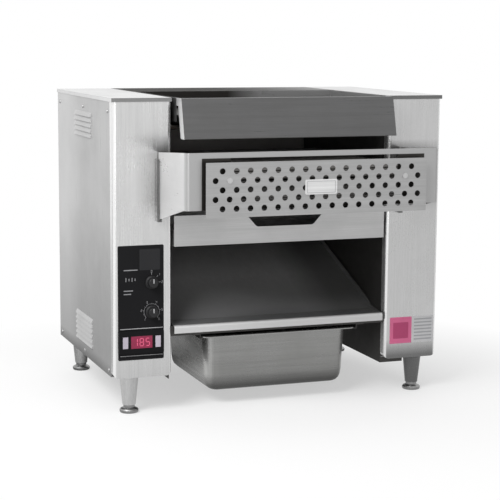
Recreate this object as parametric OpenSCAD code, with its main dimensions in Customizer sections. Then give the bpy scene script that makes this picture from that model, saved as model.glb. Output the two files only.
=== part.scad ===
// Conveyor broiler. Two side towers carry a heated tunnel with a wire belt.
// In front are the loading guard, a drip tray, a discharge slide and a grease pan.
// The front faces -Y, up is +Z, the origin is the middle of the footprint on the floor.

/* [Casing] */
// Width across the two towers
case_w = 744; // [704:1:800]
// Depth of the towers
case_d = 490; // [480:1:540]
// Height of the towers above the legs
case_h = 580; // [570:1:640]
// Width of one tower
tower_w = 127; // [122:1:138]
// Thickness of the sheet steel
sheet = 1.5; // [1.2:0.1:1.8]
// Bend radius at the upright edges of the front covers
bend_r = 8; // [4:0.5:10]
// Radius of the lower corners of the front covers
corner_r = 12; // [8:0.5:15]
// Height of the lip around the top covers
lip_h = 8; // [6:0.5:12]
// Length of the side returns on the front covers
return_d = 20; // [16:1:24]

/* [Legs and feet] */
// Height of the casing above the floor
leg_h = 80; // [70:1:110]
// Diameter of a leg at the top
leg_top_d = 43; // [36:1:48]
// Diameter of a leg at the lower end
leg_low_d = 28; // [24:1:32]
// Leg centre to the outer side of the tower
leg_in_x = 43; // [38:1:52]
// Leg centre to the front or the back of the tower
leg_in_y = 34; // [30:1:44]
// Height of a foot below its leg
foot_h = 17; // [14:0.5:22]
// Diameter of a foot
foot_d = 40; // [34:1:48]
// Diameter of the foot stud
stud_d = 12; // [10:1:14]

/* [Hood] */
// Height of the hood
hood_h = 82; // [76:1:94]
// How far the hood's top edge stands in front of the towers
hood_top_out = 37; // [30:1:46]
// How far the hood's lower edge stands in front of the towers
hood_low_out = 58; // [50:1:70]
// Depth of the hood behind the front of the towers
hood_back = 300; // [270:1:320]
// Gap between the hood and each tower
hood_gap = 9; // [4:0.5:12]
// Depth of the side returns on the visor
visor_in = 25; // [22:1:36]

/* [Loading guard] */
// How far the guard frame stands in front of the towers
guard_out = 182; // [165:1:200]
// How far the guard's top edge lies below the hood
guard_low = 17; // [12:1:24]
// How far the guard laps over each tower
guard_lap = 29; // [20:1:32]
// Height of the guard's front band
guard_h = 113; // [105:1:122]
// How far the guard's lower edge drops towards the towers
guard_drop = 38; // [20:1:42]
// How far the guard's top edge drops towards the towers
guard_top_drop = 12; // [6:1:20]
// Width of the guard's front at each side of the shield
guard_band = 37; // [28:1:40]
// Gap between the guard frame and the perforated shield
shield_gap = 16; // [10:0.5:20]
// Height of the perforated shield
shield_h = 108; // [98:1:116]
// Diameter of the shield's holes
hole_d = 12; // [8:0.5:14]
// Spacing of the holes along a row
hole_pitch = 29; // [26:0.5:34]
// Spacing of the rows
row_pitch = 18.5; // [17:0.5:20]

/* [Conveyor] */
// Height of the feed slot between the belt and the hood
feed_gap = 56; // [50:1:60]
// Gap between the belt's edge and a tower
belt_gap = 28; // [24:1:48]
// Diameter of a belt rod
rod_d = 4.5; // [3:0.5:6]
// Spacing of the belt rods
rod_pitch = 15; // [13:0.5:20]
// Diameter of the belt rollers and sprockets
roller_d = 58; // [54:1:62]
// Diameter of the two conveyor shafts
shaft_d = 20; // [16:1:22]
// Drop space behind the belt
drop_gap = 110; // [100:1:125]
// Diameter of a heating element
element_d = 8.5; // [6:0.5:10]
// Number of elements above the belt
upper_n = 5; // [3:1:6]
// Number of elements below the belt
lower_n = 4; // [3:1:4]

/* [Drip tray] */
// Height of the drip tray's front
tray_h = 64; // [56:1:68]
// Space between the belt and the drip tray
tray_clear = 38; // [32:1:44]
// Depth of the drip tray
tray_d = 345; // [300:1:355]
// Width of the finger notch at the top
notch_w = 182; // [140:1:210]
// Depth of the finger notch
notch_h = 29; // [22:1:34]
// Offset of the finger notch to the right
notch_x = 8; // [0:1:12]

/* [Discharge slide] */
// Height of the slide's lip above the tower bottoms
slide_z = 105; // [98:1:112]
// Height of the lip
slide_lip = 17; // [14:1:24]
// Depth of the slide
slide_d = 468; // [440:1:474]
// Length of the level part behind the lip
slide_flat = 60; // [40:1:90]
// Space between the slide's back edge and the drip tray
slide_clear = 14; // [8:1:30]

/* [Grease pan] */
// Width of the pan over its rim
pan_w = 354; // [325:1:380]
// Depth of the pan over its rim
pan_d = 325; // [300:1:340]
// Height of the pan
pan_h = 124; // [95:1:128]
// Front of the pan behind the front of the towers
pan_in = 1; // [0:1:30]

/* [Controls] */
// Width of the control overlay
overlay_w = 98; // [96:1:100]
// Height of the control overlay
overlay_h = 240; // [225:1:260]
// Height of the overlay's lower edge
overlay_z = 38; // [30:1:60]
// Width of the display bezel
display_w = 96; // [90:1:96]
// Height of the display bezel
display_h = 48; // [44:1:50]
// Height of the upper knob
knob_hi_z = 200; // [190:1:215]
// Height of the lower knob
knob_lo_z = 138; // [126:1:146]
// Diameter of a knob
knob_d = 27; // [22:1:32]
// Travel of a display key
key_travel = 1.2; // [0.8:0.1:1.6]

/* [Hidden] */
$fn = 64;
// Running clearance of a shaft in its bore, on the radius
fit = 0.05;
// Gap between pieces that slide past each other
slip = 0.4;
half_w = case_w / 2;
bay = half_w - tower_w;
skin_x = half_w - sheet;
skin_y = sheet;
cover_w = skin_x - bay;
cover_h = case_h - sheet;
joint_y = skin_y + return_d + 0.4;
back_y = case_d - sheet;
base_t = 2.5;
tower_x = bay + tower_w / 2;
gland_out = 20;
screw_h = 2.2;
front_out = guard_out + shield_gap + sheet + screw_h;
front_y = (front_out - back_y - gland_out) / 2;
leg_x = half_w - leg_in_x;
leg_ys = [leg_in_y, case_d - leg_in_y];
leg_r = stud_d / 2;
leg_len = leg_h - foot_h;
// Hood
hood = bay - hood_gap;
hood_z = case_h - hood_h;
upper_z = hood_z + 18;
hood_side_z = upper_z + 15;
hood_bar = 16;
spacer_r = 9;
spacer_in = 50;
reflector_z = upper_z + 26;
reflector_gap = 18;
tab_in = 70;
tab_w = 24;
upper_y0 = 42;
upper_y1 = hood_back - 36;
// Conveyor
belt_z = hood_z - feed_gap;
loop_r = roller_d / 2 + 0.6 + rod_d / 2;
belt_r = loop_r + rod_d / 2;
conv_z = belt_z - belt_r;
idler_y = -guard_out + belt_r + 14;
drive_y = case_d - drop_gap - belt_r;
belt_x = bay - belt_gap;
rail_gap = 6;
rail_x = belt_x + rail_gap;
rail_t = 3;
rail_r = roller_d / 2 - 4;
loop_len = 2 * (drive_y - idler_y) + 2 * PI * loop_r;
rod_n = round(loop_len / rod_pitch);
shaft_r = shaft_d / 2;
bush_r = shaft_r + 4;
element_r = element_d / 2;
collar_r = element_r + 3;
lower_z = conv_z + 5;
lower_y0 = 44;
lower_y1 = drive_y - 62;
rollers = [-0.7 * belt_x, 0, 0.7 * belt_x];
// Drip tray
tray_top = conv_z - belt_r - tray_clear;
tray_z = tray_top - tray_h;
side_gap = 6;
tray_x = bay - side_gap;
runner_w = 16;
runner_h = 14;
runner_y = 24;
runner_past = 12;
// Discharge slide
slide_x = bay - side_gap;
slide_back_z = tray_z - slide_clear;
slide_rise = (slide_back_z - slide_z) / (slide_d - slide_flat);
peg_y = slide_d - 24;
peg_r = 5;
peg_len = 18;
beam_in = 8;
beam_back = 84;
beam_y = [beam_in, case_d - beam_back];
beam_d = 30;
beam_top = slide_z - sheet - slip;
beam_low = slide_z - slide_lip - 6;
// Grease pan
rim_w = 13;
rim_t = 2;
rail_low = beam_low - 8.5;
rim_z = rail_low + slip;
pan_x = pan_w / 2;
pan_t = 1.2;
pan_r = 34;
rim_r = 18;
// Height above the pan's floor and inset there, down the rounded foot of the walls
pan_steps = [[0, 22], [3, 15.5], [8, 10.5], [16, 7], [28, 5]];
// Guard
guard_x = bay + guard_lap;
guard_z1 = hood_z - guard_low;
guard_z0 = guard_z1 - guard_h;
guard_r = 9;
groove_d = 10;
guard_back = -2;
shield_w = 2 * (guard_x - guard_band);
shield_z1 = guard_z1 - 18;
shield_z0 = shield_z1 - shield_h;
shield_y = -guard_out - shield_gap;
row_n = 5;
odd_n = floor((shield_w - 60) / hole_pitch) + 1;
row_z = (shield_z0 + shield_z1) / 2;
stud_x = (odd_n / 2 - 1) * hole_pitch;
stud_z = row_z + row_pitch;
stud_land = 8;
sill_h = 12;
head_h = 11;
// Controls
face_y = skin_y - 1;
overlay_x = -tower_x - 3;
display_z = overlay_z + 14 + display_h / 2;
knob_x = -tower_x + 20;
key_w = 11;
key_h = 24;
key_x = display_w / 2 - 13;
bezel_t = 5;
// Drive
chain_x = bay + 20;
chain_r = 30;
motor_y = drive_y;
motor_drop = 158;
motor_z = conv_z - motor_drop;
bracket_x = bay + 30;
bracket_t = 3;
bracket_y = 52;
bracket_low = 49;
bracket_high = 56;
bracket_stud = 5;
box_x = 58;
box_y = 36;
box_z = 42;
out_r = 7;
motor_r = 34;
motor_len = 102;
motor_cap = 8;
// Fan
fan_z = 66;
fan_y = case_d / 2;
fan_w = 92;
fan_t = 25;
fan_r = 42;
fan_hub_r = 16;
rotor_t = 17;
fan_pin_r = 3;
blade_t = 1.6;
blade_w = 17;
blade_len = 26;
// Electrical pieces in the left tower
board_y = 150;
board_z = 240;
board_d = 140;
board_h = 120;
board_t = 1.6;
post_h = 12;
post_r = 4;
post_in = 8;
coil_w = 44;
coil_d = 74;
coil_h = 60;
coil_top = 24;
coil_gap = 4;
coil_back = 174;
coil_y = case_d - coil_back;
strip_w = 34;
strip_d = 72;
strip_h = 30;
strip_back = 88;
strip_y = case_d - strip_back;
strip_x = 14;
strip_pitch = 13;
strip_hole = 3.5;
gland_r = 16;
gland_bore = 7;
pot_r = 12;
pot_d = 16;
knob_h = 16;
pin_r = 3;
// Bay walls below the towers, and the cap at the foot of the right one
wall_drop = 12;
cap_w = 54;
// Louvres
louvre_pitch = 11;
louvre_len = 144;
louvre_out = 4;
louvre_h = 9;
louvre_t = 1.2;
louvre_low = 36;
louvre_top = 92;
louvre_sets = [[fan_z - louvre_low, 6], [case_h - louvre_top, 5]];
louvre_zs = [for (s = louvre_sets) for (i = [0 : s[1] - 1]) s[0] + i * louvre_pitch];
// Vent slots at the top of the rear panel
slot_pitch = 42;
slot_in = 0.36;
slot_h = 7;
// Screws
screw_in = 16;
screw_back = 24;
screw_low = 12;
screw_top = 28;
panel_screws = [for (y = [joint_y + screw_in, case_d / 2, case_d - screw_back])
    for (z = [screw_low, case_h - screw_top]) [y, z]];
rear_in = 14;
rear_low = 60;
rear_top = 40;
rear_screws = [for (x = [rear_in - bay, bay - rear_in])
    for (z = [rear_low, case_h / 2, case_h - rear_top]) [x, z]];

// Node to draw, or all

function spread(a, b, n, i) = a + (b - a) * i / (n - 1);
function upper_y(i) = spread(upper_y0, upper_y1, upper_n, i);
function lower_y(i) = spread(lower_y0, lower_y1, lower_n, i);
function mount_y(i) =
    i == 0 ? (lower_y(0) + lower_y(1)) / 2 : (lower_y(lower_n - 2) + lower_y(lower_n - 1)) / 2;
function slide_at(y) = slide_z + max(0, y - slide_flat) * slide_rise;
// Point on the belt loop at distance s from the top of the idler
run = drive_y - idler_y;
turn = PI * loop_r;
function arc_deg(s) = s / loop_r * 180 / PI;
function loop_pt(s) =
    s < run ? [idler_y + s, loop_r] :
    s < run + turn ? [drive_y + loop_r * sin(arc_deg(s - run)), loop_r * cos(arc_deg(s - run))] :
    s < 2 * run + turn ? [drive_y - (s - run - turn), -loop_r] :
    [idler_y - loop_r * sin(arc_deg(s - 2 * run - turn)), -loop_r * cos(arc_deg(s - 2 * run - turn))];

// Carries the casing frame (front plane, tower bottoms) into the part frame
module in_case() {
    translate([0, front_y, leg_h]) children();
}
// Draws left tower pieces on the left (-1) or mirrored on the right (1)
module on_side(s) {
    mirror([s > 0 ? 1 : 0, 0, 0]) children();
}
module both_sides() {
    for (s = [-1, 1]) on_side(s) children();
}
module box(x0, x1, y0, y1, z0, z1) {
    translate([x0, y0, z0]) cube([x1 - x0, y1 - y0, z1 - z0]);
}
// Extrudes a y-z outline along x, from x0 to x1
module along_x(x0, x1) {
    translate([x0, 0, 0]) rotate([90, 0, 90]) linear_extrude(x1 - x0) children();
}
// Extrudes an x-z outline along y, from y0 to y1
module along_y(y0, y1) {
    translate([0, y1, 0]) rotate([90, 0, 0]) linear_extrude(y1 - y0) children();
}
module rod_x(x0, x1, y, z, r) {
    translate([x0, y, z]) rotate([0, 90, 0]) cylinder(h = x1 - x0, r = r);
}
module rod_y(y0, y1, x, z, r) {
    translate([x, y0, z]) rotate([-90, 0, 0]) cylinder(h = y1 - y0, r = r);
}
// Rectangle with its two lower corners rounded
module rounded_low(w, d, r) {
    translate([r, 0]) square([w - 2 * r, d]);
    translate([0, r]) square([w, d - r]);
    for (x = [r, w - r]) translate([x, r]) circle(r);
}
module rounded_rect(w, d, r) {
    translate([r, 0]) square([w - 2 * r, d]);
    translate([0, r]) square([w, d - 2 * r]);
    for (x = [r, w - r]) for (y = [r, d - r]) translate([x, y]) circle(r);
}
// Sheet bent to a channel that is open at the back
module bent_channel(w, d, r, h) {
    linear_extrude(h) difference() {
        rounded_low(w, d, r);
        translate([sheet, sheet]) rounded_low(w - 2 * sheet, d, r - sheet);
    }
}
module stadium(y0, y1, r) {
    translate([y0, -r]) square([y1 - y0, 2 * r]);
    for (y = [y0, y1]) translate([y, 0]) circle(r);
}
module toothed(r, n, seat_r, seat_at) {
    difference() {
        circle(r);
        for (i = [0 : n - 1]) rotate(i * 360 / n) translate([seat_at, 0]) circle(seat_r);
    }
}

// Upright groove on a front cover that takes the guard's rear edge
module guard_channel() {
    x = -guard_x + sheet / 2;
    low = guard_z0 - guard_drop;
    difference() {
        box(x - 4, x + 4, -groove_d, skin_y, low - 4, guard_z1 - guard_top_drop - 14);
        box(x - sheet / 2 - slip, x + sheet / 2 + slip, -groove_d - 1, -1.4, low - 0.3, guard_z1);
    }
}
module front_cover() {
    intersection() {
        translate([-skin_x, skin_y, 0]) bent_channel(cover_w, return_d, bend_r, cover_h);
        along_y(0, return_d + 5) translate([-skin_x, 0]) rounded_low(cover_w, cover_h, corner_r);
    }
    guard_channel();
}
module left_front_cover() {
    color("silver") in_case() difference() {
        front_cover();
        box(overlay_x - display_w / 2 + 2, overlay_x + display_w / 2 - 2, -1, 6,
            display_z - display_h / 2 + 2, display_z + display_h / 2 - 2);
        for (z = [knob_hi_z, knob_lo_z]) rod_y(-1, 6, knob_x, z, 5);
    }
}
module right_front_cover() {
    color("silver") in_case() on_side(1) front_cover();
}

// Pressed louvre that opens downwards, top edge at the given height
module louvre(z) {
    lh = louvre_h;
    t = louvre_t;
    x = -skin_x;
    y0 = case_d / 2 - louvre_len / 2;
    along_y(y0, y0 + louvre_len) translate([x, z])
        polygon([[0, lh], [-louvre_out, 0], [t - louvre_out, 0], [0, lh - t * lh / louvre_out]]);
    for (y = [y0, y0 + louvre_len - t])
        along_y(y, y + t) translate([x, z]) polygon([[0, lh], [-louvre_out, 0], [0, 0]]);
}
module side_panel() {
    difference() {
        box(-skin_x, -skin_x + sheet, joint_y, back_y, 0, cover_h);
        for (z = louvre_zs)
            box(-skin_x - 1, -skin_x + sheet + 1, case_d / 2 - louvre_len / 2 + 2,
                case_d / 2 + louvre_len / 2 - 2, z + 0.5, z + 5.5);
        for (p = panel_screws) rod_x(-skin_x - 1, -skin_x + sheet + 1, p[0], p[1], 2.3);
    }
    for (z = louvre_zs) louvre(z);
}
module left_side_panel() {
    color("gainsboro") in_case() side_panel();
}
module right_side_panel() {
    color("gainsboro") in_case() on_side(1) side_panel();
}

// Bay side of a tower, with the holes for the elements
module inner_wall() {
    difference() {
        box(-bay - sheet, -bay, joint_y, back_y, -wall_drop, cover_h);
        for (i = [0 : upper_n - 1]) rod_x(-bay - 5, -bay + 5, upper_y(i), upper_z, collar_r + fit);
        for (i = [0 : lower_n - 1]) rod_x(-bay - 5, -bay + 5, lower_y(i), lower_z, collar_r + fit);
    }
}
module left_inner_wall() {
    color("gray") in_case() inner_wall();
}
module right_inner_wall() {
    color("gray") in_case() difference() {
        on_side(1) inner_wall();
        rod_x(bay - 5, bay + 5, drive_y, conv_z, shaft_r + 5);
    }
}

module top_cover() {
    difference() {
        box(-half_w, -bay, 0, case_d, case_h - lip_h, case_h);
        box(-half_w + sheet, -bay + 1, sheet, back_y, 0, cover_h);
    }
}
module left_top_cover() {
    color("gainsboro") in_case() top_cover();
}
module right_top_cover() {
    color("gainsboro") in_case() on_side(1) top_cover();
}

// Bottom and back of a tower in one bent sheet, with welded leg sockets
module chassis() {
    x0 = -skin_x + sheet;
    x1 = -bay - sheet;
    y0 = skin_y + sheet + 0.6;
    difference() {
        union() {
            box(x0, x1, joint_y, back_y, 0, base_t);
            box(-skin_x + corner_r + 2, -bay - corner_r - 2, y0, joint_y + 1, 0, base_t);
            box(x0, x1, back_y - sheet, back_y, 0, cover_h);
            for (y = leg_ys) translate([-leg_x, y, 0]) cylinder(h = base_t + 12, r = leg_r + 5);
        }
        for (y = leg_ys) translate([-leg_x, y, -1]) cylinder(h = base_t + 20, r = leg_r + fit);
    }
}
module left_chassis() {
    color("lightgray") in_case() difference() {
        chassis();
        rod_y(back_y - 10, back_y + 10, -tower_x, fan_z, gland_r - 5);
    }
}
module right_chassis() {
    color("lightgray") in_case() on_side(1) chassis();
}

// Back of the bay with the deck behind the hood
module rear_panel() {
    deck_y = hood_back + 2;
    color("lightgray") in_case() difference() {
        union() {
            box(-bay, bay, back_y - sheet, back_y, 20, case_h);
            box(-bay, bay, deck_y, back_y, cover_h, case_h);
            box(-bay, bay, deck_y, deck_y + sheet, case_h - 18, case_h);
        }
        for (i = [-4 : 4]) for (z = [case_h - 52, case_h - 36])
            box((i - slot_in) * slot_pitch, (i + slot_in) * slot_pitch,
                back_y - 10, back_y + 10, z, z + slot_h);
        for (p = rear_screws) rod_y(back_y - 10, back_y + 10, p[0], p[1], 2.3);
    }
}

// Front and back channels between the towers
module crossmembers() {
    color("dimgray") in_case() {
        for (y = beam_y) difference() {
            box(-bay, bay, y, y + beam_d, beam_low, beam_top);
            box(-bay - 1, bay + 1, y + 2, y + beam_d - 2, beam_low + 2, beam_top - 2);
        }
        box(bay + sheet, bay + cap_w, joint_y, joint_y + sheet, -wall_drop, -0.3);
    }
}

// Open duct over the bay, its sloping front is the visor
module hood_shell() {
    color("dimgray") in_case() {
        along_x(-hood, hood) polygon([
            [-hood_low_out, hood_z], [-hood_top_out, case_h],
            [-hood_top_out + sheet, case_h], [-hood_low_out + sheet, hood_z]]);
        for (x = [-hood, hood - sheet]) along_x(x, x + sheet) {
            polygon([
                [-hood_low_out, hood_z], [-hood_low_out + visor_in, hood_z],
                [-hood_top_out + visor_in, case_h], [-hood_top_out, case_h]]);
            polygon([
                [-hood_top_out + 2, case_h - hood_bar], [0, case_h - hood_bar], [0, hood_side_z],
                [hood_back, hood_side_z], [hood_back, case_h], [-hood_top_out + 2, case_h]]);
        }
        box(-hood, hood, hood_back - sheet, hood_back, hood_side_z, case_h);
        box(-hood, hood, -hood_top_out, -hood_top_out + 10, cover_h, case_h);
        box(-hood, hood, -hood_low_out, -hood_low_out + 9, hood_z, hood_z + sheet);
    }
}
module hood_spacers() {
    color("gray") in_case() both_sides() for (y = [spacer_in, hood_back - spacer_in])
        rod_x(-bay, -hood, y, (hood_side_z + case_h) / 2, spacer_r);
}

// Reflector over the upper elements, held by tabs on the hood
module upper_reflector() {
    w = hood - reflector_gap;
    y0 = upper_y0 - 22;
    y1 = hood_back - 12;
    color("darkgray") in_case() {
        difference() {
            box(-w, w, y0, y1, upper_z + element_r + 4, reflector_z);
            box(-w + sheet, w - sheet, y0 + sheet, y1 - sheet, 0, reflector_z - sheet);
        }
        for (y = [tab_in, hood_back - tab_in]) for (s = [-1, 1])
            box(min(s * (w - 5), s * (hood - sheet)), max(s * (w - 5), s * (hood - sheet)),
                y - tab_w / 2, y + tab_w / 2, reflector_z - sheet, reflector_z);
    }
}

// Straight tubular heater with a terminal pin at each end
module element(y, z) {
    rod_x(-bay - 22, bay + 22, y, z, element_r);
    for (s = [-1, 1]) translate([s * (bay + 28), y, z]) rotate([0, 90, 0])
        cylinder(h = 14, r = 2, center = true);
}
module upper_elements() {
    color("saddlebrown") in_case() for (i = [0 : upper_n - 1]) element(upper_y(i), upper_z);
}
module lower_elements() {
    color("saddlebrown") in_case() for (i = [0 : lower_n - 1]) element(lower_y(i), lower_z);
}
// Ceramic bush of one element in a tower wall
module element_bush(y, z) {
    difference() {
        union() {
            rod_x(-bay - sheet, -bay + 4, y, z, collar_r);
            rod_x(-bay - sheet - 5, -bay - sheet, y, z, collar_r + 3);
        }
        rod_x(-bay - 20, -bay + 20, y, z, element_r + fit);
    }
}
module element_bushes() {
    color("linen") in_case() both_sides() {
        for (i = [0 : upper_n - 1]) element_bush(upper_y(i), upper_z);
        for (i = [0 : lower_n - 1]) element_bush(lower_y(i), lower_z);
    }
}

// Side rails that carry both conveyor shafts
module conveyor_rails() {
    color("gray") in_case() both_sides()
    along_x(-rail_x - rail_t, -rail_x) translate([0, conv_z]) difference() {
        stadium(idler_y, drive_y, rail_r);
        for (y = [idler_y, drive_y]) translate([y, 0]) circle(bush_r + fit);
        for (i = [0 : lower_n - 1]) translate([lower_y(i), lower_z - conv_z]) circle(element_r + 3);
    }
}
module conveyor_mounts() {
    color("gray") in_case() both_sides() for (i = [0, 1])
        rod_x(-bay, -rail_x - rail_t, mount_y(i), conv_z, 9);
}
// Cross rods carried by a flat chain loop at each edge
module conveyor_belt() {
    color("slategray") in_case() translate([0, 0, conv_z]) {
        for (x = [-belt_x, belt_x - 6]) along_x(x, x + 6) difference() {
            stadium(idler_y, drive_y, belt_r);
            stadium(idler_y, drive_y, belt_r - rod_d);
        }
        for (i = [0 : rod_n - 1]) {
            p = loop_pt(i * loop_len / rod_n);
            rod_x(-belt_x + 5, belt_x - 5, p[0], p[1], rod_d / 2 - 0.2);
        }
    }
}
// Flanged bushes for the two shafts
module shaft_bearings() {
    color("goldenrod") in_case() both_sides() for (y = [idler_y, drive_y]) difference() {
        union() {
            rod_x(-rail_x - rail_t, -rail_x + 2, y, conv_z, bush_r);
            rod_x(-rail_x - rail_t - 4, -rail_x - rail_t, y, conv_z, bush_r + 5);
        }
        rod_x(-rail_x - 20, -rail_x + 20, y, conv_z, shaft_r + fit);
    }
}

// Angle runners for the drip tray, and pegs for the slide's back end
module bay_runners() {
    color("gray") in_case() both_sides() {
        box(-bay, -bay + runner_w, runner_y, tray_d + runner_past, tray_z - sheet - slip, tray_z - slip);
        box(-bay, -bay + sheet, runner_y, tray_d + runner_past, tray_z - slip, tray_z + runner_h);
        rod_x(-bay, -bay + peg_len, peg_y, slide_at(peg_y) - sheet * 1.2 - peg_r - 0.6, peg_r);
    }
}
// Rails hung under the crossmembers that carry the grease pan's rim
module pan_runners() {
    x0 = pan_x - rim_w + 4;
    x1 = pan_x + 2;
    color("gray") in_case() for (s = [0, 1]) mirror([s, 0, 0]) {
        box(x1, x1 + 18, beam_y[0], beam_y[1] + beam_d, beam_low - sheet, beam_low);
        box(x1, x1 + sheet, beam_y[0], beam_y[1] + beam_d, rail_low - sheet, beam_low);
        box(x0, x1, beam_y[0], beam_y[1] + beam_d, rail_low - sheet, rail_low);
    }
}

// Tapered legs with a stud at the top and a threaded bore below
module legs() {
    color("silver") in_case() both_sides() for (y = leg_ys)
    translate([-leg_x, y, 0]) rotate_extrude() difference() {
        polygon([
            [0, base_t + 11], [leg_r, base_t + 11], [leg_r, 0], [leg_top_d / 2, 0],
            [leg_top_d / 2, -4], [leg_top_d / 2 - 1.5, -5], [leg_low_d / 2, -leg_len], [0, -leg_len]]);
        translate([-1, -leg_len - 1]) square([leg_r + fit + 1, leg_len - 9]);
    }
}
// Levelling foot, drawn on the floor at one corner
module foot(x, y) {
    r = foot_d / 2;
    neck = leg_low_d / 2 - 2;
    color("dimgray") in_case() translate([x, y, -leg_h]) rotate_extrude() polygon([
        [0, 0], [r - 3, 0], [r - 1, 0.8], [r, 3], [r, 6], [r - 2, 8.5], [neck + 2, 10],
        [neck, 11.5], [neck, foot_h - 0.2], [leg_r, foot_h - 0.2], [leg_r, leg_len - 4], [0, leg_len - 4]]);
}
module foot_front_left() {
    foot(-leg_x, leg_ys[0]);
}
module foot_front_right() {
    foot(leg_x, leg_ys[0]);
}
module foot_back_left() {
    foot(-leg_x, leg_ys[1]);
}
module foot_back_right() {
    foot(leg_x, leg_ys[1]);
}

// Right-angle gearbox beside the chain
module gearbox() {
    color("darkslategray") in_case() difference() {
        box(bracket_x, bracket_x + box_x, motor_y - box_y, motor_y + box_y, motor_z - box_z, motor_z + box_z);
        rod_x(bracket_x - 1, bracket_x + 24, motor_y, motor_z, out_r + fit);
    }
}
module motor() {
    x = bracket_x + box_x / 2;
    low = motor_z - box_z;
    color("steelblue") in_case() translate([x, motor_y, low]) {
        translate([0, 0, -motor_cap]) cylinder(h = motor_cap, r = motor_r - 6);
        translate([0, 0, -motor_cap - motor_len]) cylinder(h = motor_len, r = motor_r);
        translate([0, 0, -2 * motor_cap - motor_len]) cylinder(h = motor_cap, r = motor_r - 4);
    }
}
// Plate that carries the gearbox, on four studs welded to it
module motor_bracket() {
    color("gray") in_case() {
        difference() {
            box(bracket_x - bracket_t, bracket_x, motor_y - bracket_y, motor_y + bracket_y,
                motor_z - bracket_low, motor_z + bracket_high);
            rod_x(bracket_x - 5, bracket_x + 5, motor_y, motor_z, out_r + 6);
        }
        for (y = [8 - bracket_y, bracket_y - 8]) for (z = [9 - bracket_low, bracket_high - 8])
            rod_x(bay + sheet, bracket_x - bracket_t, motor_y + y, motor_z + z, bracket_stud);
    }
}
// Closed chain loop around the two equal sprockets
module drive_chain() {
    color("dimgray") in_case() along_x(chain_x - 3, chain_x + 3)
        translate([drive_y, 0]) rotate(90) difference() {
            stadium(motor_z, conv_z, chain_r + 5);
            stadium(motor_z, conv_z, chain_r + 0.5);
        }
}
module chain_wheel(y, z) {
    along_x(chain_x - 3, chain_x + 3) translate([y, z]) toothed(chain_r, 14, 3.6, chain_r + 0.6);
}
module drive_shaft() {
    color("silver") in_case() rod_x(-rail_x - rail_t - 3, chain_x + 6, drive_y, conv_z, shaft_r);
}
module idler_shaft() {
    color("silver") in_case() rod_x(-rail_x - rail_t - 3, rail_x + rail_t + 3, idler_y, conv_z, shaft_r);
}
// Toothed wheels that carry the belt on the drive shaft
module belt_sprockets() {
    color("gray") in_case() for (x = rollers) difference() {
        union() {
            along_x(x - 7, x + 7) translate([drive_y, conv_z]) toothed(roller_d / 2, 13, 4, roller_d / 2 + 2);
            rod_x(x - 13, x + 13, drive_y, conv_z, shaft_r + 7);
        }
        rod_x(x - 20, x + 20, drive_y, conv_z, shaft_r + fit);
    }
}
module idler_rollers() {
    color("gray") in_case() for (x = rollers) difference() {
        rod_x(x - 16, x + 16, idler_y, conv_z, roller_d / 2);
        rod_x(x - 20, x + 20, idler_y, conv_z, shaft_r + fit);
    }
}
module driven_sprocket() {
    color("gray") in_case() difference() {
        union() {
            chain_wheel(drive_y, conv_z);
            rod_x(chain_x - 3, chain_x + 5, drive_y, conv_z, shaft_r + 6);
        }
        rod_x(bay, chain_x + 20, drive_y, conv_z, shaft_r + fit);
    }
}
// Sprocket on the gearbox's output shaft
module motor_sprocket() {
    color("gray") in_case() {
        chain_wheel(motor_y, motor_z);
        rod_x(chain_x - 6, bracket_x + 20, motor_y, motor_z, out_r);
    }
}

// Black plate behind the knobs and the display
module control_overlay() {
    color([0.1, 0.1, 0.11]) in_case() difference() {
        along_y(face_y, skin_y) translate([overlay_x - overlay_w / 2, overlay_z])
            rounded_rect(overlay_w, overlay_h, 3);
        box(overlay_x - display_w / 2 + 2, overlay_x + display_w / 2 - 2, -5, 5,
            display_z - display_h / 2 + 2, display_z + display_h / 2 - 2);
        for (z = [knob_hi_z, knob_lo_z]) rod_y(-5, 5, knob_x, z, 5);
    }
}
// Panel meter with pockets for its window and two keys
module display_module() {
    color([0.08, 0.08, 0.09]) in_case() difference() {
        union() {
            along_y(face_y - bezel_t, face_y)
                translate([overlay_x - display_w / 2, display_z - display_h / 2])
                rounded_rect(display_w, display_h, 3);
            box(overlay_x - display_w / 2 + 2.5, overlay_x + display_w / 2 - 2.5, face_y - 1, 58,
                display_z - display_h / 2 + 2.5, display_z + display_h / 2 - 2.5);
        }
        for (s = [-1, 1]) box(
            overlay_x + s * key_x - key_w / 2 - slip, overlay_x + s * key_x + key_w / 2 + slip,
            face_y - bezel_t - 1, face_y - bezel_t + 3.5,
            display_z - key_h / 2 - slip, display_z + key_h / 2 + slip);
        box(overlay_x - 23, overlay_x + 23, face_y - bezel_t - 1, face_y - bezel_t + 2,
            display_z - 13, display_z + 13);
    }
}
module display_window() {
    color("crimson") in_case() box(overlay_x - 22.9, overlay_x + 22.9,
        face_y - bezel_t + 0.5, face_y - bezel_t + 2, display_z - 12.9, display_z + 12.9);
}
module key(s) {
    color("lavender") in_case() box(overlay_x + s * key_x - key_w / 2, overlay_x + s * key_x + key_w / 2,
        face_y - bezel_t - 1.2, face_y - bezel_t + 3.3 - key_travel,
        display_z - key_h / 2, display_z + key_h / 2);
}
module key_left() {
    key(-1);
}
module key_right() {
    key(1);
}
// Rotary switch and potentiometer behind the front cover
module control_pots() {
    color("gray") in_case() for (z = [knob_hi_z, knob_lo_z]) difference() {
        union() {
            rod_y(skin_y + sheet, skin_y + sheet + pot_d, knob_x, z, pot_r);
            rod_y(face_y + 0.1, skin_y + sheet + 1, knob_x, z, pin_r + 1.8);
        }
        rod_y(-5, skin_y + sheet + pot_d - 4, knob_x, z, pin_r + fit);
    }
}
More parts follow.
